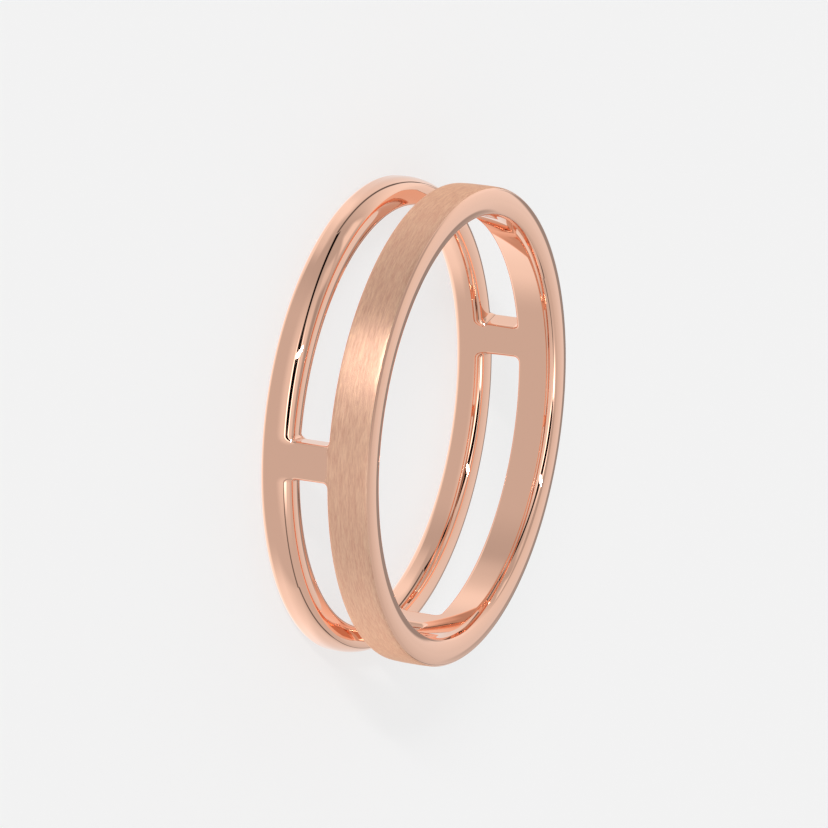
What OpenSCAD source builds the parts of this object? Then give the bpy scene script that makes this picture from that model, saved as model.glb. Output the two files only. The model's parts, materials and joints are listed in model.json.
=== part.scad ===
// Openwork band ring in rose gold: two narrow bands side by side around one finger hole.
// Three short bars join the bands across an open slot. One band is brushed, the other polished.
// The ring lies on its side: the axis is +Z, the polished band is below and the brushed one above.
// The origin is the middle of the side face that it rests on. Sizes are in millimetres.

/* [Finger hole] */
// Inside diameter, which sets the ring size
inner_d = 17.3; // [14:0.1:23]
// Thickness of the metal, from the finger hole to the outer face
wall_t = 1.23; // [1:0.01:1.8]

/* [Bands] */
// Width of the brushed band, along the finger
brushed_w = 1.8; // [1.2:0.01:3]
// Width of the polished band, along the finger
polished_w = 1.31; // [1:0.01:3]
// Width of the open slot between the bands
slot_w = 1.66; // [1:0.01:3]

/* [Bars] */
// Width of a bar, around the ring
bar_w = 1.54; // [1:0.01:3]
// Rounding where a bar runs into a band
bar_corner_r = 0.2; // [0.1:0.01:0.4]
// How far a bar's inner face stands back from the finger hole, so that the bands alone touch the finger
bar_relief = 0.02; // [0.01:0.01:0.1]
// Angle of the bar that sits under the finger
palm_bar_angle = 16.4; // [0:0.1:30]
// Angle from that bar to the bar on either side of it
bar_turn = 96.4; // [40:0.1:160]

/* [Rounded edges] */
// Outer edge of the brushed band's side face
brushed_outer_r = 0.25; // [0.05:0.01:0.4]
// Inner edge of the brushed band's side face
brushed_inner_r = 0.27; // [0.05:0.01:0.4]
// Outer edge of the polished band's side face
polished_outer_r = 0.28; // [0.05:0.01:0.4]
// Inner edge of the polished band's side face
polished_inner_r = 0.33; // [0.05:0.01:0.4]
// Outer edge of the polished band along the slot, the softest one
polished_slot_outer_r = 0.45; // [0.1:0.01:0.5]
// Inner edge of the polished band along the slot
polished_slot_inner_r = 0.28; // [0.05:0.01:0.4]
// Both edges of the brushed band along the slot
brushed_slot_r = 0.13; // [0.05:0.01:0.3]

/* [Hidden] */
$fn = 180;
inner_r = inner_d / 2;
outer_r = inner_r + wall_t;
ring_h = polished_w + slot_w + brushed_w;
slot_mid_z = polished_w + slot_w / 2;
slot_top_z = polished_w + slot_w;
bar_angles = [for (way = [-1, 0, 1]) palm_bar_angle + way * bar_turn];
// How far a cutting shape stands past the face that it cuts
past = 0.5;
// How far a bar's flares run past a band's rounded edge, flush with its plain face
foot = 0.06;

// What rounds one corner of a section: it lies at the origin, and the section runs to -X and -Y from it
module corner_cut(r) {
    difference() {
        translate([-r, -r]) square(r + past);
        translate([-r, -r]) circle(r);
    }
}

// Section of a band, from the finger hole outwards, with a rounding of its own at each corner
module band_section(w, low_inner, low_outer, high_inner, high_outer) {
    difference() {
        translate([inner_r, 0]) square([wall_t, w]);
        translate([inner_r, 0]) mirror([1, 0]) mirror([0, 1]) corner_cut(low_inner);
        translate([outer_r, 0]) mirror([0, 1]) corner_cut(low_outer);
        translate([inner_r, w]) mirror([1, 0]) corner_cut(high_inner);
        translate([outer_r, w]) corner_cut(high_outer);
    }
}

module polished_band() {
    rotate_extrude()
        band_section(
            polished_w, polished_inner_r, polished_outer_r, polished_slot_inner_r, polished_slot_outer_r
        );
}

module brushed_band() {
    translate([0, 0, slot_top_z])
        rotate_extrude()
            band_section(brushed_w, brushed_slot_r, brushed_slot_r, brushed_inner_r, brushed_outer_r);
}

// Face of a bar as seen from outside, with the slot's middle at the origin. Its sides flare into each band
// by the slot's corner rounding and that band's own edge rounding together.
module bar_face() {
    low_r = bar_corner_r + polished_slot_outer_r + foot;
    high_r = bar_corner_r + brushed_slot_r + foot;
    half = bar_w / 2 + low_r;
    low_z = -slot_w / 2 - polished_slot_outer_r - 2 * foot;
    high_z = slot_w / 2 + brushed_slot_r + 2 * foot;
    rise = slot_w / 2 - bar_corner_r;
    difference() {
        translate([-half, low_z]) square([2 * half, high_z - low_z]);
        for (way = [-1, 1]) {
            translate([way * half, -rise]) circle(low_r);
            translate([way * (bar_w / 2 + high_r), rise]) circle(high_r);
            translate([way * half, 0]) square([2 * low_r, 2 * rise], center = true);
            translate([way * (half + high_r), rise]) square([2 * low_r, 2 * high_r], center = true);
        }
    }
}

// Bar between the bands at one angle, flush with their outer faces
module bar(angle) {
    intersection() {
        difference() {
            cylinder(r = outer_r, h = ring_h);
            translate([0, 0, -past]) cylinder(r = inner_r + bar_relief, h = ring_h + 2 * past);
        }
        rotate([0, 0, angle])
            translate([inner_r - past, 0, slot_mid_z])
                rotate([90, 0, 90])
                    linear_extrude(height = wall_t + 2 * past) bar_face();
    }
}

module ring() {
    color([0.88, 0.66, 0.55]) {
        union() {
            polished_band();
            brushed_band();
            for (angle = bar_angles) {
                bar(angle);
            }
        }
    }
}

ring();
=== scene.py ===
"""Openwork band ring in rose gold: its looks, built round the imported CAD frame.

The ring is made as a bench jeweller would make it. A flat strip is pierced with three long windows and
its edges are rounded. A Geometry Nodes tree then rolls the strip round the finger hole and solders its
ends. The outer face of the upper band is brushed and all the rest is polished.

Units are metres, in the same frame as the CAD model: +Z along the finger hole, the polished band below.
"""

from __future__ import annotations

import json
import logging
import math
from dataclasses import dataclass, field
from enum import Enum
from typing import Any

import bpy
import numpy as np
from mathutils import Matrix, Vector

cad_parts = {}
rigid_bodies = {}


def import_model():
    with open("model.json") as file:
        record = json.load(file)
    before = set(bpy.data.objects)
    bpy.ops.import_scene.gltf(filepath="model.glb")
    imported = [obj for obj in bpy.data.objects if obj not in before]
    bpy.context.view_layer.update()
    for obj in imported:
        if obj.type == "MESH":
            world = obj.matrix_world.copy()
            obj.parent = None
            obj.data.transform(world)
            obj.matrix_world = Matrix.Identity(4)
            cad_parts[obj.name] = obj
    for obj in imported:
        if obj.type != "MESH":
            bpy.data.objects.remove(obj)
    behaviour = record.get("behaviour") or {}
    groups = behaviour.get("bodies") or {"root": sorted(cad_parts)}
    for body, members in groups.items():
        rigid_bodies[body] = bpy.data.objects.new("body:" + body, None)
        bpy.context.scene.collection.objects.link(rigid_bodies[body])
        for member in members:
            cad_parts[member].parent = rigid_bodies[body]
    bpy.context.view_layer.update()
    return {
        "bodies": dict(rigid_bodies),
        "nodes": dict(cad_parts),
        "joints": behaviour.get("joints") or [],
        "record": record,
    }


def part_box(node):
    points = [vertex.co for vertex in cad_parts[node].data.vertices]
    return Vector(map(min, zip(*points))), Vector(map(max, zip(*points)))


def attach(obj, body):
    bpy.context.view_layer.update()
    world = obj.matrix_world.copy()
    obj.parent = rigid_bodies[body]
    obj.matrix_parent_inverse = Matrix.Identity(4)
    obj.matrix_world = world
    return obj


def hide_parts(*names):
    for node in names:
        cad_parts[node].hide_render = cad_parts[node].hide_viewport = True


LOG = logging.getLogger("band_ring")
MM = 0.001
FULL_TURN = 2 * math.pi


class Band(Enum):
    """The two bands of the ring, with the way from the open slot to each one along the axis."""

    POLISHED = -1
    BRUSHED = 1


class Skin(Enum):
    """The outer and inner faces of the wall, with the way that each one looks along the radius."""

    OUTER = 1
    INNER = -1


@dataclass(frozen=True)
class EdgeCurve:
    """Section of a rounded edge: arcs that lead from one face of the wall into its side.

    Attributes:
        arcs: each arc's radius in millimetres, and how far the surface has turned at its end, in degrees.
    """

    arcs: tuple[tuple[float, float], ...]

    def place(self, turn: float) -> tuple[float, float]:
        """Finds the point of the curve where the surface has turned a given way.

        Args:
            turn: angle from the face's own way towards the side, in radians.

        Returns:
            How far the point stands back from the side, and how far it lies below the face.
        """
        back, below, start = 0.0, 0.0, 0.0
        for radius, end_turn in self.arcs:
            end = math.radians(end_turn)
            split = min(max(turn, start), end)
            back += radius * MM * (math.sin(end) - math.sin(split))
            below += radius * MM * (math.cos(start) - math.cos(split))
            start = end
        return back, below

    @property
    def reach(self) -> float:
        """How far the curve reaches along the face."""
        return self.place(0.0)[0]


@dataclass(frozen=True)
class RingSizes:
    """Real sizes of the ring, in metres and radians.

    The first three come from the CAD frame. The widths and angles repeat the part's driving sizes, and each
    edge follows the part's rounding with the softer curve that the metal shows.

    Attributes:
        inner_r: radius of the finger hole.
        outer_r: radius of the outer face.
        height: width of the whole ring, along the finger.
        polished_w: width of the polished band.
        slot_w: width of the open slot.
        bar_w: width of a bar, around the ring.
        bar_corner_r: rounding where a bar runs into a band.
        palm_bar_angle: angle of the bar under the finger.
        bar_turn: angle from that bar to its neighbours.
        wall_swell: how far the slot's walls bulge into the slot.
        bar_taper: how much each side of a bar draws in, for each unit of depth towards the finger hole.
        corner_blend: how soon a corner leaves the band's edge curve for the bar's.
        brush_reach: how far over the rounded edges the brushed finish goes.
    """

    inner_r: float
    outer_r: float
    height: float
    polished_w: float = 1.31 * MM
    slot_w: float = 1.66 * MM
    bar_w: float = 1.54 * MM
    bar_corner_r: float = 0.2 * MM
    palm_bar_angle: float = math.radians(16.4)
    bar_turn: float = math.radians(96.4)
    brushed_outer: EdgeCurve = EdgeCurve(((4.0, 5), (0.3, 20), (0.19, 77), (1.6, 90)))
    brushed_inner: EdgeCurve = EdgeCurve(((1.1, 24), (0.12, 74), (1.6, 90)))
    polished_outer: EdgeCurve = EdgeCurve(((0.28, 90),))
    polished_inner: EdgeCurve = EdgeCurve(((0.33, 90),))
    polished_slot_outer: EdgeCurve = EdgeCurve(((1.3, 26), (0.8, 40), (0.2, 80), (0.8, 90)))
    polished_slot_inner: EdgeCurve = EdgeCurve(((1.3, 24), (0.1, 73), (1.8, 90)))
    brushed_slot_outer: EdgeCurve = EdgeCurve(((4.0, 6), (0.15, 90)))
    brushed_slot_inner: EdgeCurve = EdgeCurve(((0.15, 76), (1.0, 90)))
    bar_outer: EdgeCurve = EdgeCurve(((1.0, 14), (0.18, 90)))
    bar_inner: EdgeCurve = EdgeCurve(((0.24, 90),))
    wall_swell: float = 0.04 * MM
    bar_taper: float = 0.055
    corner_blend: int = 4
    brush_reach: float = math.radians(38)

    @classmethod
    def from_frame(cls, frame: dict[str, Any]) -> RingSizes:
        """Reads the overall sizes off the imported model.


        Returns:
            The ring's sizes.
        """
        low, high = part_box("ring")
        bore = next(m for m in frame["record"]["mounts"] if m["name"] == "finger_bore")
        return cls(
            inner_r=bore["dims"]["r_mm"] * MM,
            outer_r=(high.x - low.x) / 2,
            height=high.z - low.z,
        )

    @property
    def slot_z(self) -> tuple[float, float]:
        """Heights of the slot's lower and upper edge, where its walls swell out the most."""
        return self.polished_w + self.wall_swell, self.polished_w + self.slot_w - self.wall_swell

    @property
    def bar_angles(self) -> list[float]:
        """Angles of the three bars, in rising order."""
        return [self.palm_bar_angle + way * self.bar_turn for way in (-1, 0, 1)]

    def radius(self, skin: Skin) -> float:
        """Radius of the wall's outer or inner face."""
        return self.outer_r if skin is Skin.OUTER else self.inner_r

    def slot_edge(self, band: Band, skin: Skin) -> EdgeCurve:
        """Picks the rounding of a band's edge along the slot.

        Args:
            band: the band.
            skin: the face of the wall that the edge is on.

        Returns:
            The edge's curve.
        """
        if band is Band.BRUSHED:
            return self.brushed_slot_outer if skin is Skin.OUTER else self.brushed_slot_inner
        return self.polished_slot_outer if skin is Skin.OUTER else self.polished_slot_inner

    def side_edge(self, band: Band, skin: Skin) -> EdgeCurve:
        """Picks the rounding of a band's edge along its side face.

        Args:
            band: the band.
            skin: the face of the wall that the edge is on.

        Returns:
            The edge's curve.
        """
        if band is Band.BRUSHED:
            return self.brushed_outer if skin is Skin.OUTER else self.brushed_inner
        return self.polished_outer if skin is Skin.OUTER else self.polished_inner

    def bar_edge(self, skin: Skin) -> EdgeCurve:
        """Rounding of a bar's edges on one face of the wall."""
        return self.bar_outer if skin is Skin.OUTER else self.bar_inner


@dataclass(frozen=True)
class Fineness:
    """How finely the strip is divided.

    Attributes:
        arc_step: angle between the columns along a window.
        across_bar: columns across a bar and its corners.
        edge_turns: turns at which an edge's section is divided, in degrees.
        corner_round: steps round a window's corner.
        flat_rows: rows across a flat face.
        wall_rows: rows down a window's plain wall.
        least_turn: stands in for a turn of nothing, whose tangent cannot be divided by.
    """

    arc_step: float = math.radians(0.6)
    across_bar: int = 18
    edge_turns: tuple[float, ...] = (0, 5, 10, 15, 20, 25, 31, 38, 47, 57, 67, 75, 80, 85, 90)
    corner_round: int = 8
    flat_rows: int = 3
    wall_rows: int = 3
    least_turn: float = math.radians(0.01)


@dataclass(frozen=True)
class CutLevel:
    """One step down the cut wall of a window, from the ring's outer face to its inner face.

    Attributes:
        skin: the face whose rounded edge the step is on.
        turn: how far the edge has turned from that face into the cut wall.
        down: share of the plain wall already passed, for a step on the wall itself.
    """

    skin: Skin
    turn: float
    down: float = 0.0


@dataclass
class WindowOutline:
    """Outline of a window at one step, in strip directions, with its last point on its first."""

    points: np.ndarray
    normals: np.ndarray


@dataclass
class FlatStrip:
    """The ring's metal laid out flat: X is the angle, Y the depth over the finger hole, Z the height.

    Each point also has the way that its surface looks, in the same three directions.
    """

    sizes: RingSizes
    fineness: Fineness = field(default_factory=Fineness)
    points: list[np.ndarray] = field(default_factory=list)
    normals: list[np.ndarray] = field(default_factory=list)
    faces: list[np.ndarray] = field(default_factory=list)
    count: int = 0

    def add_grid(self, points: np.ndarray, normals: np.ndarray) -> None:
        """Adds one grid of four-sided faces that look the way their normals do.

        Args:
            points: rows by columns by three places on the strip.
            normals: the way that the surface looks at each of them.
        """
        rows, columns = points.shape[:2]
        index = self.count + np.arange(rows * columns).reshape(rows, columns)
        quads = np.stack([index[:-1, :-1], index[:-1, 1:], index[1:, 1:], index[1:, :-1]], axis=-1)
        scale = np.array([self.sizes.outer_r, 1.0, 1.0])
        across = (points[1:, 1:] - points[:-1, :-1]) * scale
        other = (points[1:, :-1] - points[:-1, 1:]) * scale
        if (np.cross(across, other) * (normals[1:, 1:] + normals[:-1, :-1])).sum() > 0:
            quads = quads[..., ::-1]
        self.points.append(points.reshape(-1, 3))
        self.normals.append(normals.reshape(-1, 3))
        self.faces.append(quads.reshape(-1, 4))
        self.count += rows * columns

    def corner_reach(self, radius: float | np.ndarray) -> float | np.ndarray:
        """Distance from a bar's middle to where its corner meets the slot's edge, at one radius."""
        sizes = self.sizes
        return sizes.bar_w / 2 + sizes.bar_corner_r - sizes.bar_taper * (sizes.outer_r - radius)

    def bar_offsets(self) -> np.ndarray:
        """Even sideways steps across a bar and its corners, from -1 to 1."""
        return np.linspace(-1.0, 1.0, self.fineness.across_bar + 1)

    def edge_turns(self) -> np.ndarray:
        """Turns at which an edge's section is divided, in radians."""
        return np.radians(self.fineness.edge_turns)

    def edge_angles(self, radius: float) -> np.ndarray:
        """Angles of all columns along a band, at one radius.

        Args:
            radius: distance from the finger hole's axis.

        Returns:
            Angles from the first bar's near corner once round to the same corner.
        """
        bars = self.sizes.bar_angles
        columns = []
        for bar, following in zip(bars, bars[1:] + [bars[0] + FULL_TURN]):
            columns.append(bar + np.arcsin(self.bar_offsets() * self.corner_reach(radius) / radius)[:-1])
            columns.append(self.window_angles(bar, following, radius)[:-1])
        last = bars[0] + FULL_TURN - math.asin(self.corner_reach(radius) / radius)
        return np.append(np.concatenate(columns), last)

    def window_angles(self, bar: float, following: float, radius: float) -> np.ndarray:
        """Angles along a window's straight edge, between the corner roundings of two bars.

        Args:
            bar: angle of the bar before the window.
            following: angle of the bar after it.
            radius: distance from the finger hole's axis.

        Returns:
            Evenly spaced angles, as many at each radius.
        """
        reach = math.asin(self.corner_reach(radius) / radius)
        steps = round((following - bar) / self.fineness.arc_step)
        return np.linspace(bar + reach, following - reach, steps + 1)

    def row(self, angles: np.ndarray, radius: float | np.ndarray, z: float | np.ndarray) -> np.ndarray:
        """One row of strip points.

        Args:
            angles: the angle of each point.
            radius: distance from the finger hole's axis, of all points or of each one.
            z: height of all points, or of each one.

        Returns:
            A point for each angle.
        """
        depth = np.broadcast_to(radius - self.sizes.inner_r, angles.shape)
        return np.stack([angles, depth, np.broadcast_to(z, angles.shape)], axis=-1)

    def add_band(self, band: Band) -> None:
        """Adds a band's shell, from the slot's outer edge over its side face to the slot's inner edge.

        Args:
            band: which of the two bands.
        """
        sizes, fine, way = self.sizes, self.fineness, band.value
        upper = band is Band.BRUSHED
        side_z = sizes.height if upper else 0.0
        rows, normals = [], []
        for skin in Skin:
            edge, out = sizes.side_edge(band, skin), skin.value
            half: list[tuple[float, float, float, float]] = []
            slot_end = sizes.slot_z[upper] + way * sizes.slot_edge(band, skin).reach
            for z in np.linspace(slot_end, side_z - way * edge.reach, fine.flat_rows + 1)[:-1]:
                half.append((sizes.radius(skin), z, out, 0.0))
            for turn in self.edge_turns():
                back, below = edge.place(turn)
                radius = sizes.radius(skin) - out * below
                half.append((radius, side_z - way * back, out * math.cos(turn), way * math.sin(turn)))
            angles = self.edge_angles(sizes.radius(skin))
            for radius, z, outward, up in half if skin is Skin.OUTER else half[::-1]:
                rows.append(self.row(angles, radius, z))
                normals.append(np.tile([0.0, outward, up], (len(angles), 1)))
        self.add_grid(np.array(rows), np.array(normals))

    def edge_place(self, looks: np.ndarray, skin: Skin, turn: float) -> tuple[np.ndarray, np.ndarray]:
        """Finds the points of a window's edge that have turned a given way, for each way of its cut wall.

        Args:
            looks: the wall's normals, sideways and up.
            skin: the face of the wall that the edge is on.
            turn: how far the surface has turned from that face into the cut wall.

        Returns:
            How far each point stands back and how far it lies below the face. It follows the band's edge,
            the bar's edge, or a blend of both in a corner.
        """
        up = looks[:, 1] ** self.sizes.corner_blend
        low, high = (self.sizes.slot_edge(side, skin).place(turn) for side in Band)
        bar = self.sizes.bar_edge(skin).place(turn)
        upward = looks[:, 1] > 0
        band = [np.where(upward, low[part], high[part]) for part in (0, 1)]
        back, below = ((1 - up) * bar[part] + up * band[part] for part in (0, 1))
        return back, below

    def level_place(self, looks: np.ndarray, level: CutLevel) -> tuple[np.ndarray, np.ndarray, float]:
        """Radius of a step down the cut wall, how far it stands back, and how far it looks outwards.

        Args:
            looks: the wall's normals, sideways and up.
            level: the step.

        Returns:
            For each normal the radius and the inset, and then the outward part of a normal whose part along
            the wall's own normal is 1.
        """
        sizes, way = self.sizes, level.skin.value
        inset, below = self.edge_place(looks, level.skin, level.turn)
        radius = sizes.radius(level.skin) - way * below
        if level.down:
            other = sizes.inner_r + self.edge_place(looks, Skin.INNER, math.pi / 2)[1]
            radius = radius + (other - radius) * level.down
        outward = way / math.tan(max(level.turn, self.fineness.least_turn))
        return radius, inset, outward

    def bar_side(self, level: CutLevel) -> tuple[np.ndarray, np.ndarray, np.ndarray, np.ndarray]:
        """Outline of one side of a bar at a step, from the slot's upper edge down to its lower edge.

        Args:
            level: the step down the cut wall.

        Returns:
            Distances from the bar's middle, heights, radii, and normals (sideways, outwards, up).
        """
        sizes = self.sizes
        low, high = sizes.slot_z
        corner = sizes.bar_corner_r
        turns = np.linspace(0.0, math.pi / 2, self.fineness.corner_round + 1)
        upper = np.stack([np.sin(turns), -np.cos(turns)], axis=-1)
        straight = np.linspace(high - corner, low + corner, self.fineness.flat_rows + 1)[1:-1]
        looks = np.concatenate([upper, np.tile([1.0, 0.0], (len(straight), 1)), (upper * [1, -1])[::-1]])
        upper_middle, lower_middle = (np.full(len(turns), z) for z in (high - corner, low + corner))
        middle = np.concatenate([upper_middle, straight, lower_middle])
        radius, inset, outward = self.level_place(looks, level)
        across = self.corner_reach(radius) - (corner + inset) * looks[:, 0]
        normals = np.stack([looks[:, 0], outward - sizes.bar_taper * looks[:, 0], looks[:, 1]], axis=-1)
        return across, middle - (corner + inset) * looks[:, 1], radius, normals

    def add_bar_face(self, bar: float, skin: Skin) -> None:
        """Adds the outer or inner face of a bar, with the corners that run into the bands.

        Args:
            bar: the bar's angle.
            skin: which face of the wall.
        """
        radius = self.sizes.radius(skin)
        across, heights, _, _ = self.bar_side(CutLevel(skin, 0.0))
        rows = []
        for half, z in zip(across, heights):
            rows.append(self.row(bar + np.arcsin(self.bar_offsets() * half / radius), radius, z))
        points = np.array(rows)
        normals = np.broadcast_to([0.0, float(skin.value), 0.0], points.shape)
        self.add_grid(points, normals)

    def cut_levels(self) -> list[CutLevel]:
        """Lists the steps down a cut wall.

        Returns:
            The steps, from the outer face over both rounded edges to the inner face.
        """
        fine = self.fineness
        turns = self.edge_turns()
        levels = [CutLevel(Skin.OUTER, turn) for turn in turns]
        for down in np.linspace(0.0, 1.0, fine.wall_rows + 1)[1:-1]:
            levels.append(CutLevel(Skin.OUTER, math.pi / 2, down))
        return levels + [CutLevel(Skin.INNER, turn) for turn in turns[::-1]]

    def add_window(self, bar: float, following: float) -> None:
        """Adds the cut walls of a window, with the rounded edges that lead into them.

        Args:
            bar: angle of the bar before the window.
            following: angle of the bar after it.
        """
        rows, normals = [], []
        for level in self.cut_levels():
            outline = self.window_outline(bar, following, level)
            rows.append(outline.points)
            normals.append(outline.normals / np.linalg.norm(outline.normals, axis=-1, keepdims=True))
        self.add_grid(np.array(rows), np.array(normals))

    def window_outline(self, bar: float, following: float, level: CutLevel) -> WindowOutline:
        """Closed outline of a window at a step down its cut wall.

        Args:
            bar: angle of the bar before the window.
            following: angle of the bar after it.
            level: the step.

        Returns:
            The outline, once round.
        """
        across, side_z, side_radius, looks = self.bar_side(level)
        turn = np.arcsin(across / side_radius)
        sideways, outward = looks[:, 0], looks[:, 1]
        along = sideways * np.cos(turn)
        side_normals = np.stack([along, sideways * np.sin(turn) + outward, looks[:, 2]], axis=-1)
        before = self.row(bar + turn, side_radius, side_z)
        after = self.row(following - turn, side_radius, side_z)
        edges = []
        for end in (0, -1):
            angles = self.window_angles(bar, following, side_radius[end])
            edges.append(self.row(angles, side_radius[end], side_z[end]))
        above, below = (np.tile([0.0, outward[end], looks[end, 2]], (len(edges[0]), 1)) for end in (0, -1))
        return WindowOutline(
            np.concatenate([edges[0], after[1:], edges[1][::-1][1:], before[::-1][1:]]),
            np.concatenate([above, (side_normals * [-1, 1, 1])[1:], below[1:], side_normals[::-1][1:]]),
        )

    def brushed_faces(self, points: np.ndarray, normals: np.ndarray, faces: np.ndarray) -> np.ndarray:
        """Picks the faces that have the brushed finish.

        Args:
            points: all points of the strip.
            normals: the way that each one looks.
            faces: the points of each face.

        Returns:
            True for each face on the outer side of the upper band.
        """
        heights = points[faces, 2].mean(axis=1)
        outward = normals[faces, 1].mean(axis=1)
        return (heights > self.sizes.slot_z[1]) & (outward > math.cos(self.sizes.brush_reach))

    def mesh(self) -> bpy.types.Mesh:
        """Makes the whole strip.

        Returns:
            One mesh, with its normals and its brushed faces as attributes.
        """
        bars = self.sizes.bar_angles
        for band in Band:
            self.add_band(band)
        for bar, following in zip(bars, bars[1:] + [bars[0] + FULL_TURN]):
            self.add_window(bar, following)
            for skin in Skin:
                self.add_bar_face(bar, skin)
        points, normals, faces = (np.concatenate(part) for part in (self.points, self.normals, self.faces))
        mesh = bpy.data.meshes.new("flat_strip")
        mesh.from_pydata(points, [], faces)
        looks = mesh.attributes.new("surface_way", "FLOAT_VECTOR", "POINT")
        looks.data.foreach_set("vector", normals.astype(np.float32).ravel())
        flags = mesh.attributes.new("brushed", "BOOLEAN", "FACE")
        flags.data.foreach_set("value", self.brushed_faces(points, normals, faces))
        return mesh


@dataclass
class NodeBench:
    """A small helper that lays nodes in a tree and joins them."""

    tree: bpy.types.NodeTree

    def add(self, kind: str, label: str = "", **settings: Any) -> bpy.types.Node:
        """Adds a node.

        Args:
            kind: the node's type name.
            label: what the node is for.
            settings: the node's own properties.

        Returns:
            The node.
        """
        node = self.tree.nodes.new(kind)
        node.label = label
        for name, value in settings.items():
            setattr(node, name, value)
        return node

    def join(self, source: bpy.types.NodeSocket, *targets: bpy.types.NodeSocket) -> None:
        """Links one output to each of the inputs."""
        for target in targets:
            self.tree.links.new(source, target)

    def maths(self, operation: str, *values: Any) -> bpy.types.NodeSocket:
        """Adds a Math node.

        Args:
            operation: what it works out.
            values: a socket or a number for each of its inputs.

        Returns:
            The result's socket.
        """
        node = self.add("ShaderNodeMath", operation=operation)
        for slot, value in zip(node.inputs, values):
            if isinstance(value, bpy.types.NodeSocket):
                self.join(value, slot)
            else:
                slot.default_value = value
        return node.outputs[0]


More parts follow.
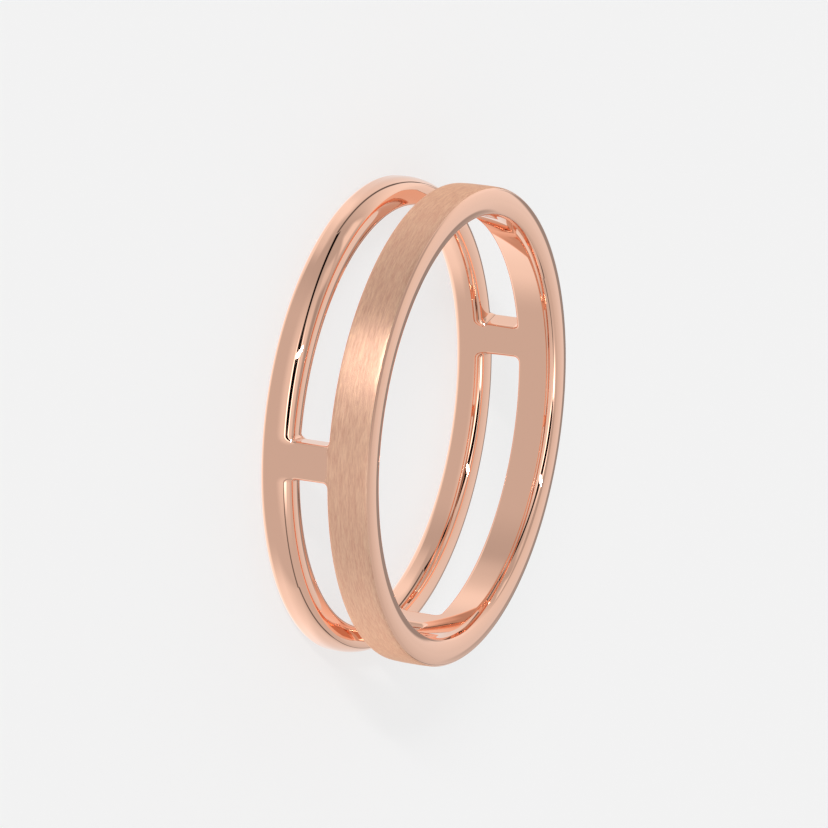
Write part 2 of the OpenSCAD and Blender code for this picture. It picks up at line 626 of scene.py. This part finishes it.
@dataclass
class OpenworkRing:
    """The ring itself: a pierced strip, rolled round the finger hole and soldered closed."""

    sizes: RingSizes
    polished: bpy.types.Material
    brushed: bpy.types.Material
    solder_gap: float = 0.0004 * MM

    def roll_tree(self) -> bpy.types.NodeTree:
        """Builds the Geometry Nodes tree that rolls the strip and gives it its metal.

        Returns:
            The tree, with inputs for the finger hole's radius, the solder gap and the two finishes.
        """
        tree = bpy.data.node_groups.new("Roll strip into ring", "GeometryNodeTree")
        tree.interface.new_socket("Strip", in_out="INPUT", socket_type="NodeSocketGeometry")
        for name in ("Finger Radius", "Solder Gap"):
            tree.interface.new_socket(name, in_out="INPUT", socket_type="NodeSocketFloat")
        for name in ("Polished Finish", "Brushed Finish"):
            tree.interface.new_socket(name, in_out="INPUT", socket_type="NodeSocketMaterial")
        tree.interface.new_socket("Ring", in_out="OUTPUT", socket_type="NodeSocketGeometry")
        bench = NodeBench(tree)
        given = bench.add("NodeGroupInput")
        place = bench.add("GeometryNodeInputPosition")
        apart = bench.add("ShaderNodeSeparateXYZ", "angle, depth, height")
        bench.join(place.outputs["Position"], apart.inputs[0])
        radius = bench.maths("ADD", given.outputs["Finger Radius"], apart.outputs["Y"])
        rolled = bench.add("ShaderNodeCombineXYZ", "rolled place")
        cosine = bench.maths("COSINE", apart.outputs["X"])
        sine = bench.maths("SINE", apart.outputs["X"])
        bench.join(bench.maths("MULTIPLY", radius, cosine), rolled.inputs["X"])
        bench.join(bench.maths("MULTIPLY", radius, sine), rolled.inputs["Y"])
        bench.join(apart.outputs["Z"], rolled.inputs["Z"])
        turned = self.turned_normal(bench, cosine, sine)
        keep = bench.add("GeometryNodeStoreNamedAttribute", data_type="FLOAT_VECTOR", domain="POINT")
        keep.inputs["Name"].default_value = "surface_way"
        bench.join(given.outputs["Strip"], keep.inputs["Geometry"])
        bench.join(turned, keep.inputs["Value"])
        move = bench.add("GeometryNodeSetPosition", "roll")
        bench.join(keep.outputs["Geometry"], move.inputs["Geometry"])
        bench.join(rolled.outputs[0], move.inputs["Position"])
        weld = bench.add("GeometryNodeMergeByDistance", "solder")
        bench.join(move.outputs["Geometry"], weld.inputs["Geometry"])
        bench.join(given.outputs["Solder Gap"], weld.inputs["Distance"])
        smooth = bench.add("GeometryNodeSetShadeSmooth")
        bench.join(weld.outputs["Geometry"], smooth.inputs["Geometry"])
        whole = bench.add("GeometryNodeRealizeInstances")
        bench.join(smooth.outputs["Geometry"], whole.inputs["Geometry"])
        polish = bench.add("GeometryNodeSetMaterial", "polish all")
        bench.join(whole.outputs["Geometry"], polish.inputs["Geometry"])
        bench.join(given.outputs["Polished Finish"], polish.inputs["Material"])
        flag = bench.add("GeometryNodeInputNamedAttribute", data_type="BOOLEAN")
        flag.inputs["Name"].default_value = "brushed"
        brush = bench.add("GeometryNodeSetMaterial", "brush the band's outer face")
        bench.join(polish.outputs["Geometry"], brush.inputs["Geometry"])
        bench.join(given.outputs["Brushed Finish"], brush.inputs["Material"])
        bench.join(flag.outputs["Attribute"], brush.inputs["Selection"])
        result = bench.add("NodeGroupOutput")
        bench.join(brush.outputs["Geometry"], result.inputs["Ring"])
        return tree

    def turned_normal(
        self, bench: NodeBench, cosine: bpy.types.NodeSocket, sine: bpy.types.NodeSocket
    ) -> bpy.types.NodeSocket:
        """Turns the strip's stored normals with the roll.

        Args:
            bench: the tree's helper.
            cosine: cosine of the angle.
            sine: sine of the angle.

        Returns:
            The socket with the turned normal.
        """
        flat = bench.add("GeometryNodeInputNamedAttribute", data_type="FLOAT_VECTOR")
        flat.inputs["Name"].default_value = "surface_way"
        apart = bench.add("ShaderNodeSeparateXYZ", "along, out, up")
        bench.join(flat.outputs["Attribute"], apart.inputs[0])
        along, out = apart.outputs["X"], apart.outputs["Y"]
        turned = bench.add("ShaderNodeCombineXYZ", "rolled normal")
        out_x, out_y = (bench.maths("MULTIPLY", out, part) for part in (cosine, sine))
        along_x, along_y = (bench.maths("MULTIPLY", along, part) for part in (sine, cosine))
        bench.join(bench.maths("SUBTRACT", out_x, along_x), turned.inputs["X"])
        bench.join(bench.maths("ADD", out_y, along_y), turned.inputs["Y"])
        bench.join(apart.outputs["Z"], turned.inputs["Z"])
        return turned.outputs[0]

    def build(self) -> bpy.types.Object:
        """Makes the ring as one plain mesh at the origin.

        Returns:
            The ring, with its normals taken from the strip.
        """
        flat = bpy.data.objects.new("strip", FlatStrip(self.sizes).mesh())
        bpy.context.scene.collection.objects.link(flat)
        modifier = flat.modifiers.new("roll", "NODES")
        modifier.node_group = self.roll_tree()
        values = {
            "Finger Radius": self.sizes.inner_r,
            "Solder Gap": self.solder_gap,
            "Polished Finish": self.polished,
            "Brushed Finish": self.brushed,
        }
        for item in modifier.node_group.interface.items_tree:
            if item.name in values:
                modifier[item.identifier] = values[item.name]
        depsgraph = bpy.context.evaluated_depsgraph_get()
        mesh = bpy.data.meshes.new_from_object(flat.evaluated_get(depsgraph))
        flat.modifiers.remove(modifier)
        bpy.data.objects.remove(flat)
        mesh.name = "openwork_ring"
        looks = np.empty(len(mesh.vertices) * 3, np.float32)
        mesh.attributes["surface_way"].data.foreach_get("vector", looks)
        looks = looks.reshape(-1, 3)
        mesh.normals_split_custom_set_from_vertices(looks / np.linalg.norm(looks, axis=1, keepdims=True))
        for name in ("surface_way", "brushed"):
            mesh.attributes.remove(mesh.attributes[name])
        ring = bpy.data.objects.new("openwork_ring", mesh)
        bpy.context.scene.collection.objects.link(ring)
        return ring


@dataclass(frozen=True)
class SurfaceEffects:
    """Shader node groups that the finishes share.

    Attributes:
        line_width: width of a brush line, across the band.
        line_length: its length, around the ring.
        drift_size: how many times larger the broader drifts are.
        smudge_size: size of a smudge.
        hairline_width: width of a hairline scratch.
        hairline_length: its length.
        hairline_turns: how far each set of hairlines is tipped.
        hairline_span: noise values between which a hairline goes from faint to full.
        noise_detail: how many finer layers the noise has.
        noise_roughness: how strong each finer layer is beside the one before it.
    """

    line_width: float = 0.027 * MM
    line_length: float = 0.27 * MM
    drift_size: float = 3.0
    smudge_size: float = 2.5 * MM
    hairline_width: float = 0.03 * MM
    hairline_length: float = 1.6 * MM
    hairline_turns: tuple[float, float] = (math.radians(35), math.radians(-50))
    hairline_span: tuple[float, float] = (0.68, 0.8)
    noise_detail: float = 2.0
    noise_roughness: float = 0.6

    def group(
        self, name: str, outputs: tuple[str, ...]
    ) -> tuple[bpy.types.NodeTree, NodeBench, bpy.types.Node, bpy.types.Node]:
        """Starts a shader node group that takes coordinates.

        Args:
            name: the group's name.
            outputs: names of its value outputs.

        Returns:
            The tree, its helper, its input node and its output node.
        """
        tree = bpy.data.node_groups.new(name, "ShaderNodeTree")
        tree.interface.new_socket("Place", in_out="INPUT", socket_type="NodeSocketVector")
        for output in outputs:
            tree.interface.new_socket(output, in_out="OUTPUT", socket_type="NodeSocketFloat")
        bench = NodeBench(tree)
        return tree, bench, bench.add("NodeGroupInput"), bench.add("NodeGroupOutput")

    def stretched_noise(
        self,
        bench: NodeBench,
        place: bpy.types.NodeSocket,
        size: tuple[float, float, float],
        turn: float = 0.0,
    ) -> bpy.types.NodeSocket:
        """Adds noise whose grains have a given size.

        Args:
            bench: the tree's helper.
            place: the coordinates.
            size: width of a grain along X, Y and Z.
            turn: how far the grains are tipped about X and Z, and half as far about Y.

        Returns:
            The noise value's socket.
        """
        mapping = bench.add("ShaderNodeMapping", "grain size")
        mapping.inputs["Scale"].default_value = tuple(1 / width for width in size)
        source = place
        if turn:
            tip = bench.add("ShaderNodeMapping", "tipped")
            tip.inputs["Rotation"].default_value = (turn, turn / 2, turn)
            bench.join(place, tip.inputs["Vector"])
            source = tip.outputs["Vector"]
        bench.join(source, mapping.inputs["Vector"])
        noise = bench.add("ShaderNodeTexNoise", noise_dimensions="3D")
        noise.inputs["Scale"].default_value = 1.0
        noise.inputs["Detail"].default_value = self.noise_detail
        noise.inputs["Roughness"].default_value = self.noise_roughness
        bench.join(mapping.outputs["Vector"], noise.inputs["Vector"])
        return noise.outputs["Fac"]

    def brush_grain(self) -> bpy.types.NodeTree:
        """Builds fine lines that run round the ring, with broader drifts where the brush pressed harder.

        Returns:
            The node group, with an output for the lines and one for the drifts. They give the brushed
            finish its height, its roughness, and the painted shade and painted highlight in its colour.
        """
        tree, bench, given, result = self.group("Brush grain", ("Lines", "Drifts"))
        fine = (self.line_length, self.line_length, self.line_width)
        broad = tuple(self.drift_size * width for width in fine)
        bench.join(self.stretched_noise(bench, given.outputs["Place"], fine), result.inputs["Lines"])
        bench.join(self.stretched_noise(bench, given.outputs["Place"], broad), result.inputs["Drifts"])
        return tree

    def handling_wear(self) -> bpy.types.NodeTree:
        """Builds faint smudges, and sparse hairlines in two directions, as a worn ring has.

        Returns:
            The node group, with an output for the smudges and one for the hairlines.
        """
        tree, bench, given, result = self.group("Handling wear", ("Smudges", "Hairlines"))
        place = given.outputs["Place"]
        bench.join(self.stretched_noise(bench, place, (self.smudge_size,) * 3), result.inputs["Smudges"])
        thin = (self.hairline_length, self.hairline_width, self.hairline_length)
        marks = []
        for turn in self.hairline_turns:
            cut = bench.add("ShaderNodeMapRange", "only the deepest lines")
            cut.inputs["From Min"].default_value, cut.inputs["From Max"].default_value = self.hairline_span
            bench.join(self.stretched_noise(bench, place, thin, turn), cut.inputs["Value"])
            marks.append(cut.outputs["Result"])
        bench.join(bench.maths("MAXIMUM", *marks), result.inputs["Hairlines"])
        return tree


@dataclass(frozen=True)
class GoldFinish:
    """A finish of the ring's rose gold.

    Attributes:
        name: the material's name.
        colour: how the metal reflects each of red, green and blue, face on.
        roughness: how far the surface scatters a reflection, averaged over both directions.
        grain_depth: height of the brush lines, or zero for a polished surface.
        grain_painted_shade: painted shade and painted highlight: how much darker the colour is painted in
            the lines' valleys, and how much lighter on their crests.
        grain_contrast: how sharply the painted shade goes over into the painted highlight, from valley to
            crest.
        grain_roughness: how much more the lines' crests scatter than their valleys.
        anisotropy: how much more it scatters across the brush lines than along them.
        brush_turn: way of the widest scatter, as a share of a full turn from the way round the ring.
        edge_tint: how much of each colour it keeps when seen at a glancing angle.
        wear_roughness: how much the smudges and hairlines roughen it.
    """

    name: str
    colour: tuple[float, float, float]
    roughness: float
    grain_depth: float = 0.0
    grain_painted_shade: float = 0.0
    grain_contrast: float = 2.0
    grain_roughness: float = 0.0
    anisotropy: float = 0.0
    brush_turn: float = 0.252
    edge_tint: tuple[float, float, float] = (1.0, 1.0, 1.0)
    wear_roughness: float = 0.02

    def material(self, grain: bpy.types.NodeTree, wear: bpy.types.NodeTree) -> bpy.types.Material:
        """Builds the finish as a material.

        Args:
            grain: the brush grain's node group.
            wear: the handling wear's node group.

        Returns:
            The material.
        """
        material = bpy.data.materials.new(self.name)
        material.use_nodes = True
        bench = NodeBench(material.node_tree)
        shader = material.node_tree.nodes["Principled BSDF"]
        shader.inputs["Base Color"].default_value = (*self.colour, 1.0)
        shader.inputs["Metallic"].default_value = 1.0
        shader.inputs["Specular Tint"].default_value = (*self.edge_tint, 1.0)
        place = bench.add("ShaderNodeTexCoord").outputs["Object"]
        worn = bench.add("ShaderNodeGroup", node_tree=wear)
        bench.join(place, worn.inputs["Place"])
        smudged = bench.maths("MULTIPLY", worn.outputs["Smudges"], self.wear_roughness)
        scratched = bench.maths("MULTIPLY", worn.outputs["Hairlines"], self.wear_roughness)
        rough = bench.maths("ADD", bench.maths("ADD", smudged, scratched), self.roughness)
        if self.grain_depth:
            rough = self.add_brush_lines(bench, shader, grain, place, rough)
        bench.join(rough, shader.inputs["Roughness"])
        return material

    def add_brush_lines(
        self,
        bench: NodeBench,
        shader: bpy.types.Node,
        grain: bpy.types.NodeTree,
        place: bpy.types.NodeSocket,
        rough: bpy.types.NodeSocket,
    ) -> bpy.types.NodeSocket:
        """Adds the brush lines' colour, height and one-way scatter.

        Args:
            bench: the material's helper.
            shader: the surface shader.
            grain: the brush grain's node group.
            place: the coordinates.
            rough: the roughness so far.

        Returns:
            The roughness with the lines' own share.
        """
        lines = bench.add("ShaderNodeGroup", node_tree=grain)
        bench.join(place, lines.inputs["Place"])
        both = bench.maths("ADD", lines.outputs["Lines"], lines.outputs["Drifts"])
        centred = bench.maths("SUBTRACT", both, 1.0)
        # Painted shade and painted highlight: the colour is painted darker in the brush lines' valleys and
        # lighter on their crests, following the same noise that gives them their height.
        tint = bench.add("ShaderNodeMix", "painted shade in valleys, painted highlight on crests", data_type="RGBA", blend_type="MIX")
        for end, shade in (("A", 1 - self.grain_painted_shade), ("B", 1 + self.grain_painted_shade)):
            tint.inputs[end].default_value = (*(min(1.0, part * shade) for part in self.colour), 1.0)
        halfway = 0.5
        crest = bench.maths("MULTIPLY_ADD", centred, self.grain_contrast, halfway)
        bench.join(crest, tint.inputs["Factor"])
        bench.join(tint.outputs["Result"], shader.inputs["Base Color"])
        bump = bench.add("ShaderNodeBump")
        bump.inputs["Strength"].default_value = 1.0
        bump.inputs["Distance"].default_value = self.grain_depth
        bench.join(both, bump.inputs["Height"])
        bench.join(bump.outputs["Normal"], shader.inputs["Normal"])
        tangent = bench.add("ShaderNodeTangent", direction_type="RADIAL", axis="Z")
        bench.join(tangent.outputs["Tangent"], shader.inputs["Tangent"])
        shader.inputs["Anisotropic"].default_value = self.anisotropy
        shader.inputs["Anisotropic Rotation"].default_value = self.brush_turn
        return bench.maths("MULTIPLY_ADD", centred, self.grain_roughness, rough)


@dataclass(frozen=True)
class ProductCamera:
    """The camera, at the photograph's angle to the ring and rolled to line up with it.

    Attributes:
        azimuth: how far it stands round the ring.
        elevation: how far it stands above the ring's side face.
        roll: how far it is turned about its own view.
        distance: how far it is from the point that it looks at.
        aim: that point.
        lens_mm: its focal length.
        sensor_mm: width of its sensor.
        clip_ratio: how many times nearer and farther than the ring it still sees.
    """

    azimuth: float = math.radians(-3.32)
    elevation: float = math.radians(23.75)
    roll: float = math.radians(98.2)
    distance: float = 171.6 * MM
    aim: tuple[float, float, float] = (-0.281 * MM, -0.982 * MM, 2.506 * MM)
    lens_mm: float = 182.97
    sensor_mm: float = 36.0
    clip_ratio: float = 100.0

    @property
    def axes(self) -> tuple[Vector, Vector, Vector]:
        """Works out how the picture lies in the ring's own frame.

        Returns:
            The picture's right and up, and the way from the ring back to the camera.
        """
        level = math.cos(self.elevation)
        sideways, ahead = math.sin(self.azimuth) * level, math.cos(self.azimuth) * level
        back = Vector((sideways, -ahead, math.sin(self.elevation)))
        across = Vector((0, 0, 1)).cross(back).normalized()
        right = across * math.cos(self.roll) + back.cross(across) * math.sin(self.roll)
        return right, back.cross(right), back

    def place(self) -> bpy.types.Object:
        """Makes the camera and sets it as the scene's own.

        Returns:
            The camera.
        """
        data = bpy.data.cameras.new("camera")
        data.lens = self.lens_mm
        data.sensor_width = self.sensor_mm
        data.clip_start = self.distance / self.clip_ratio
        data.clip_end = self.distance * self.clip_ratio
        camera = bpy.data.objects.new("camera", data)
        bpy.context.scene.collection.objects.link(camera)
        right, up, back = self.axes
        turned = Matrix((right, up, back)).transposed().to_4x4()
        camera.matrix_world = Matrix.Translation(Vector(self.aim) + back * self.distance) @ turned
        bpy.context.scene.camera = camera
        return camera


class PatchShape(Enum):
    """What the sides of a patch of the surroundings do towards its top and bottom."""

    PANEL = "they follow the room's upright lines, so they close in overhead"
    SLIT = "they stay as far apart"


@dataclass(frozen=True)
class SoftPatch:
    """A soft-edged patch of the studio's surroundings, as seen from the ring. Angles are in degrees.

    Attributes:
        name: what the patch is.
        middle: how far its middle lies to the right of the camera, and how high it lies.
        half: half its width and half its height, to the middle of its soft edge.
        soft: width of the soft edge at its sides and at its top and bottom.
        level: how bright it is.
        shape: what its sides do.
        lean: how far a slit leans over from upright.
    """

    name: str
    middle: tuple[float, float]
    half: tuple[float, float]
    soft: tuple[float, float]
    level: float
    shape: PatchShape = PatchShape.PANEL
    lean: float = 0.0


PATCHES = (
    SoftPatch("ceiling", (0, 90), (200, 35), (1, 25), 0.54),
    SoftPatch("high back panel", (-135, 62), (48, 11), (36, 14), 0.92),
    SoftPatch("right back panel", (138, 28), (33, 34), (50, 60), 1.0),
    SoftPatch("left back panel", (-145, -5), (42, 60), (50, 90), 1.18),
    SoftPatch("dim strip behind", (176, 0), (10, 60), (20, 20), 0.84),
    SoftPatch("front haze", (0, -4), (29, 46), (26, 40), 0.86),
    SoftPatch("front glow", (-1.5, -6), (8.5, 30), (4, 36), 3.2),
    SoftPatch("dark flag in front on the right", (38, 15), (12, 30), (12, 20), 0.42),
    SoftPatch("dark flag on the right", (80, 12), (20, 24), (16, 20), 0.46),
    SoftPatch("upper right panel", (78, 60), (18, 11), (12, 11), 0.95),
    SoftPatch("upper front panel", (33, 52), (14, 8), (10, 10), 0.78),
    SoftPatch("dark part of the back slit", (149.5, 1), (11.5, 14), (3, 16), 0.34),
    SoftPatch("back slit", (156, 0), (1.9, 200), (1.6, 1), 0.14, PatchShape.SLIT, -2.6),
    SoftPatch("low front slit", (-8, -55), (1.5, 38), (1.6, 8), 0.15, PatchShape.SLIT),
    SoftPatch("front slit", (-1.5, 35), (2.7, 55), (2, 4), 0.0, PatchShape.SLIT),
    SoftPatch("dark part of the front slit", (-1.5, 8), (6, 26), (2.4, 18), 0.0),
    SoftPatch("strip light", (4, 21.3), (9, 1.0), (3, 1), 110.0),
)


@dataclass(frozen=True)
class Surroundings:
    """Light all round the ring: plain walls with soft panels and dark slits between them.

    Attributes:
        axes: the picture's right and up, and the way back to the camera.
        base: brightness of the plain walls.
        patches: what lies over them, each one over those before it.
    """

    axes: tuple[Vector, Vector, Vector]
    base: float = 0.64
    patches: tuple[SoftPatch, ...] = PATCHES

    def soft_edge(
        self,
        bench: NodeBench,
        distance: bpy.types.NodeSocket,
        half: bpy.types.NodeSocket,
        soft: bpy.types.NodeSocket,
    ) -> bpy.types.NodeSocket:
        """Adds a smooth step from one inside a distance to zero outside it.

        Args:
            bench: the tree's helper.
            distance: the socket with the distance from the patch's middle.
            half: the socket with the distance of the edge's middle.
            soft: the socket with the edge's width.

        Returns:
            The step's socket.
        """
        step = bench.add("ShaderNodeMapRange", interpolation_type="SMOOTHSTEP")
        reach = bench.maths("MULTIPLY", soft, 0.5)
        bench.join(distance, step.inputs["Value"])
        bench.join(bench.maths("SUBTRACT", half, reach), step.inputs["From Min"])
        bench.join(bench.maths("ADD", half, reach), step.inputs["From Max"])
        step.inputs["To Min"].default_value = 1.0
        step.inputs["To Max"].default_value = 0.0
        return step.outputs["Result"]

    def patch_group(self) -> bpy.types.NodeTree:
        """Builds the node group that lays one patch over the brightness below it.

        Returns:
            The node group.
        """
        tree = bpy.data.node_groups.new("Soft patch", "ShaderNodeTree")
        places = ("Below", "Sideways", "Height")
        sizes = ("Middle Height", "Half Width", "Half Height", "Side Softness", "End Softness", "Level")
        for name in places + sizes:
            tree.interface.new_socket(name, in_out="INPUT", socket_type="NodeSocketFloat")
        tree.interface.new_socket("Brightness", in_out="OUTPUT", socket_type="NodeSocketFloat")
        bench = NodeBench(tree)
        given = bench.add("NodeGroupInput").outputs
        result = bench.add("NodeGroupOutput")
        upwards = bench.maths("ABSOLUTE", bench.maths("SUBTRACT", given["Height"], given["Middle Height"]))
        sides = self.soft_edge(bench, given["Sideways"], given["Half Width"], given["Side Softness"])
        ends = self.soft_edge(bench, upwards, given["Half Height"], given["End Softness"])
        cover = bench.maths("MULTIPLY", sides, ends)
        rise = bench.maths("SUBTRACT", given["Level"], given["Below"])
        bench.join(bench.maths("MULTIPLY_ADD", rise, cover, given["Below"]), result.inputs["Brightness"])
        return tree

    def toward(self, bench: NodeBench, way: bpy.types.NodeSocket, axis: Vector) -> bpy.types.NodeSocket:
        """Adds the part of a direction that lies along a fixed axis.

        Args:
            bench: the tree's helper.
            way: the direction's socket.
            axis: the axis.

        Returns:
            The socket of their dot product.
        """
        node = bench.add("ShaderNodeVectorMath", operation="DOT_PRODUCT")
        bench.join(way, node.inputs[0])
        node.inputs[1].default_value = axis
        return node.outputs["Value"]

    def sideways(
        self,
        bench: NodeBench,
        way: bpy.types.NodeSocket,
        level: bpy.types.NodeSocket,
        patch: SoftPatch,
    ) -> bpy.types.NodeSocket:
        """Adds the angle between a direction and a patch's upright middle line.

        Args:
            bench: the tree's helper.
            way: the direction's socket.
            level: the socket with the cosine of its height angle.
            patch: the patch.

        Returns:
            The angle's socket.
        """
        right, up, back = self.axes
        angle = math.radians(patch.middle[0])
        ahead = self.toward(bench, way, right * math.sin(angle) + back * math.cos(angle))
        if patch.shape is PatchShape.PANEL:
            return bench.maths("ARCCOSINE", bench.maths("DIVIDE", ahead, level))
        lean = math.radians(patch.lean)
        across = right * math.cos(angle) - back * math.sin(angle)
        aside = self.toward(bench, way, across * math.cos(lean) + up * math.sin(lean))
        behind = bench.maths("MULTIPLY", bench.maths("LESS_THAN", ahead, 0.0), math.pi)
        return bench.maths("ADD", bench.maths("ABSOLUTE", bench.maths("ARCSINE", aside)), behind)

    def build(self) -> bpy.types.World:
        """Makes the world with its patches and sets it as the scene's own.

        Returns:
            The world.
        """
        world = bpy.data.worlds.new("studio")
        bpy.context.scene.world = world
        world.use_nodes = True
        bench = NodeBench(world.node_tree)
        way = bench.add("ShaderNodeTexCoord").outputs["Generated"]
        height = bench.maths("ARCSINE", self.toward(bench, way, self.axes[1]))
        level = bench.maths("COSINE", height)
        group = self.patch_group()
        brightness = bench.maths("ADD", self.base, 0.0)
        for patch in self.patches:
            node = bench.add("ShaderNodeGroup", patch.name, node_tree=group)
            angles = {
                "Middle Height": patch.middle[1],
                "Half Width": patch.half[0],
                "Half Height": patch.half[1],
                "Side Softness": patch.soft[0],
                "End Softness": patch.soft[1],
            }
            for name, degrees in angles.items():
                node.inputs[name].default_value = math.radians(degrees)
            node.inputs["Level"].default_value = patch.level
            bench.join(self.sideways(bench, way, level, patch), node.inputs["Sideways"])
            bench.join(height, node.inputs["Height"])
            bench.join(brightness, node.inputs["Below"])
            brightness = node.outputs["Brightness"]
        background = world.node_tree.nodes["Background"]
        bench.join(brightness, background.inputs["Strength"])
        background.inputs["Color"].default_value = (1.0, 1.0, 1.0, 1.0)
        return world


@dataclass(frozen=True)
class StudioFloor:
    """Plain pale floor. It glows a little, so that the ring's shading of it stays faint.

    Attributes:
        size: length of its sides.
        albedo: share of the light that it gives back.
        glow: brightness of its own light.
    """

    size: float = 4.0
    albedo: float = 0.3
    glow: float = 0.65

    def build(self) -> bpy.types.Object:
        """Makes the floor, which the metal does not mirror: the surroundings give its reflection.

        Returns:
            The floor.
        """
        half = self.size / 2
        mesh = bpy.data.meshes.new("floor")
        corners = [(-half, -half, 0), (half, -half, 0), (half, half, 0), (-half, half, 0)]
        mesh.from_pydata(corners, [], [(0, 1, 2, 3)])
        floor = bpy.data.objects.new("floor", mesh)
        bpy.context.scene.collection.objects.link(floor)
        floor.visible_glossy = False
        floor.visible_shadow = False
        material = bpy.data.materials.new("floor")
        material.use_nodes = True
        shader = material.node_tree.nodes["Principled BSDF"]
        shader.inputs["Base Color"].default_value = (self.albedo,) * 3 + (1.0,)
        shader.inputs["Roughness"].default_value = 1.0
        shader.inputs["Specular IOR Level"].default_value = 0.0
        shader.inputs["Emission Color"].default_value = (1.0, 1.0, 1.0, 1.0)
        shader.inputs["Emission Strength"].default_value = self.glow
        mesh.materials.append(material)
        return floor


def main() -> None:
    """Builds the ring and its studio, in order."""
    logging.basicConfig(level=logging.INFO, format="%(name)s: %(message)s")
    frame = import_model()
    camera = ProductCamera()
    camera.place()
    Surroundings(camera.axes).build()
    StudioFloor().build()
    bpy.context.scene.view_settings.view_transform = "Standard"
    effects = SurfaceEffects()
    grain, wear = effects.brush_grain(), effects.handling_wear()
    polished = GoldFinish(
        name="polished_rose_gold", colour=(0.95, 0.58, 0.43), roughness=0.02
    ).material(grain, wear)
    brushed = GoldFinish(
        name="brushed_rose_gold",
        colour=(1.0, 0.545, 0.385),
        roughness=0.38,
        grain_depth=0.013 * MM,
        grain_painted_shade=0.2,
        grain_roughness=0.25,
        anisotropy=0.9,
        edge_tint=(0.96, 0.8, 0.68),
        wear_roughness=0.05,
    ).material(grain, wear)
    sizes = RingSizes.from_frame(frame)
    ring = OpenworkRing(sizes, polished, brushed).build()
    LOG.info("ring: %d faces", len(ring.data.polygons))
    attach(ring, "root")
    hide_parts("ring")


if __name__ == "__main__":
    main()
